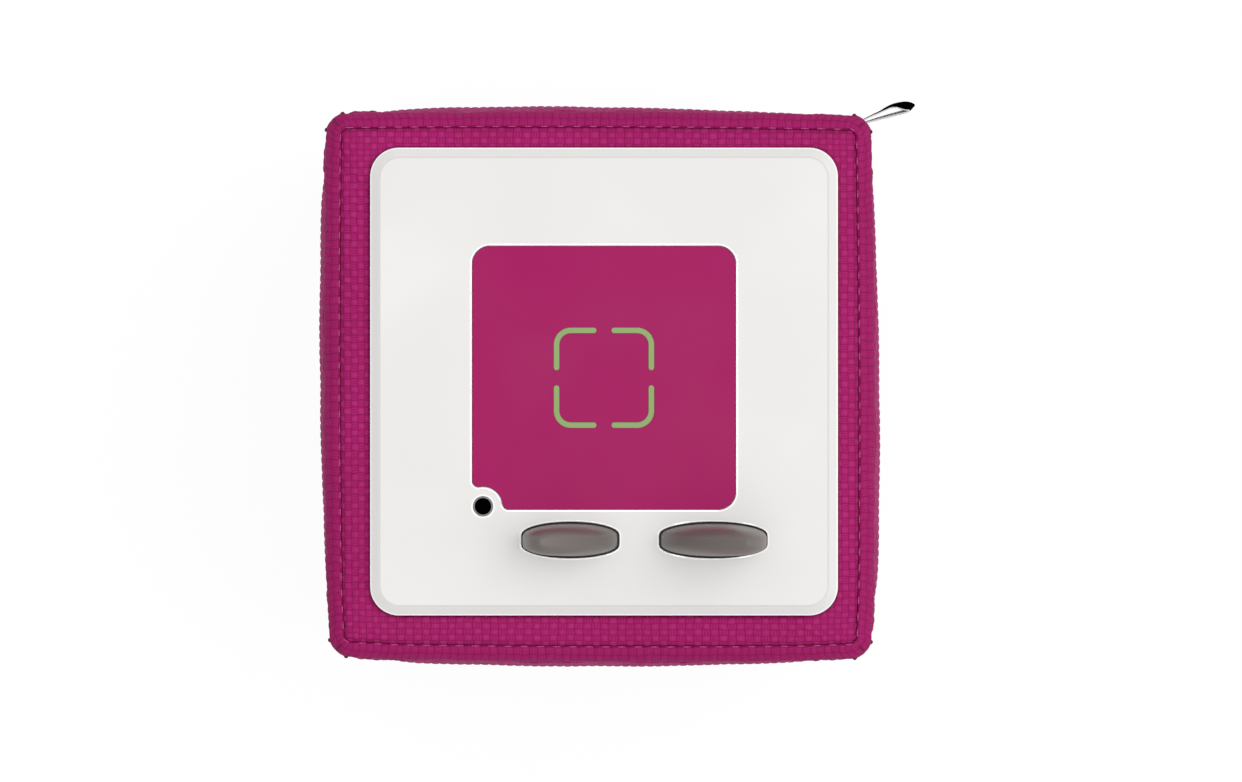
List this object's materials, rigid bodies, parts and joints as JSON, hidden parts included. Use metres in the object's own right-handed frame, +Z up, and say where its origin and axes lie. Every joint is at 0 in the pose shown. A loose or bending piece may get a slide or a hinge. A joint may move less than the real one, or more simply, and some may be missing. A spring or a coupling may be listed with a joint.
{
  "type": "audio story player",
  "caption": "Soft padded cube that plays stories when a figure stands on its pad, with squeezable ears, a status light, a rear headphone socket and a loop label.",
  "frame": {"origin": "centre of the footprint, on the surface that the player stands on", "axes": "+Z up, -Y towards the edge that the ears stand near, +X to the right"},
  "size_m": [0.1287, 0.1224, 0.1469],
  "materials": {
    "cover_fabric": "basket weave, soft sheen",
    "binding_fabric": "bias-cut basket weave",
    "label_ribbon": "satin ribbon, black outside and white inside",
    "foam": "open-cell foam",
    "white_shell": "satin white moulding",
    "pink_plastic": "matte moulding",
    "green_ink": "matte print inlay",
    "grey_plastic": "satin",
    "smoked_window": "polished, smoked",
    "white_part": "plain moulding",
    "dark_plastic": "fine spark texture",
    "black_plastic": "plain moulding",
    "circuit_board": "solder resist",
    "copper": "etched foil",
    "plated_steel": "zinc plated",
    "cone_paper": "pressed paper pulp",
    "black_rubber": "matte",
    "ear_rubber": "matte silicone",
    "grey_rubber": "matte, non-slip",
    "lead_sheath": "flexible sheath",
    "cell_can": "bare cell cans, at a battery's weight",
    "sleeve_film": "shrink film",
    "gilt_contact": "gold plated"
  },
  "bodies": {
    "root": {"cover_top": "cover_fabric", "cover_front": "cover_fabric", "cover_rear": "cover_fabric", "cover_left": "cover_fabric", "cover_right": "cover_fabric", "cover_bottom": "cover_fabric", "cover_top_binding": "binding_fabric", "cover_bottom_binding": "binding_fabric", "cover_corner_bindings": "binding_fabric", "label_loop": "label_ribbon", "foam_block": "foam", "top_plate": "white_shell", "figure_pad": "pink_plastic", "placement_marks": "green_ink", "led_bezel": "grey_plastic", "light_pipe": "smoked_window", "indicator_led": "white_part", "top_chassis": "dark_plastic", "nfc_board": "circuit_board", "nfc_coil": "copper", "holding_magnet": "plated_steel", "chassis_screws": "plated_steel", "small_ear_skin": "ear_rubber", "small_ear_spine": "white_part", "small_ear_board": "circuit_board", "small_ear_switches": "plated_steel", "big_ear_skin": "ear_rubber", "big_ear_spine": "white_part", "big_ear_board": "circuit_board", "big_ear_switches": "plated_steel", "inner_case": "dark_plastic", "speaker_basket": "black_plastic", "speaker_magnet": "plated_steel", "speaker_surround": "black_rubber", "speaker_screws": "plated_steel", "main_board": "circuit_board", "board_chips": "black_plastic", "board_sockets": "white_part", "memory_card": "black_plastic", "inner_screws": "plated_steel", "lead_set": "lead_sheath", "battery_cells": "cell_can", "battery_sleeve": "sleeve_film", "battery_retainer": "dark_plastic", "headphone_jack": "black_plastic", "jack_collar": "white_shell", "base_plate": "white_shell", "foot_ring": "grey_rubber", "charge_contacts": "gilt_contact", "charge_board": "circuit_board", "base_screws": "plated_steel"},
    "small_ear_front": {"small_ear_front_paddle": "white_part", "small_ear_front_plunger": "black_plastic"},
    "small_ear_rear": {"small_ear_rear_paddle": "white_part", "small_ear_rear_plunger": "black_plastic"},
    "big_ear_front": {"big_ear_front_paddle": "white_part", "big_ear_front_plunger": "black_plastic"},
    "big_ear_rear": {"big_ear_rear_paddle": "white_part", "big_ear_rear_plunger": "black_plastic"},
    "speaker_cone": {"speaker_cone": "cone_paper"}
  },
  "joints": [
    {"name": "small_ear_front_press", "type": "slide", "parent": "root", "child": "small_ear_front", "axis": [0, 1, 0], "range_m": [0, 0.0005], "stiffness_N_per_m": 800, "deforming": ["small_ear_skin"]},
    {"name": "small_ear_rear_press", "type": "slide", "parent": "root", "child": "small_ear_rear", "axis": [0, -1, 0], "range_m": [0, 0.0005], "stiffness_N_per_m": 800},
    {"name": "big_ear_front_press", "type": "slide", "parent": "root", "child": "big_ear_front", "axis": [0, 1, 0], "range_m": [0, 0.0005], "stiffness_N_per_m": 800, "deforming": ["big_ear_skin"]},
    {"name": "big_ear_rear_press", "type": "slide", "parent": "root", "child": "big_ear_rear", "axis": [0, -1, 0], "range_m": [0, 0.0005], "stiffness_N_per_m": 800},
    {"name": "speaker_cone_stroke", "type": "slide", "parent": "root", "child": "speaker_cone", "axis": [0, -1, 0], "range_m": [-0.0005, 0.0005], "stiffness_N_per_m": 1500}
  ],
  "couplings": [
    {"joint": "small_ear_rear_press", "follows": "small_ear_front_press", "ratio": 1},
    {"joint": "big_ear_rear_press", "follows": "big_ear_front_press", "ratio": 1}
  ]
}
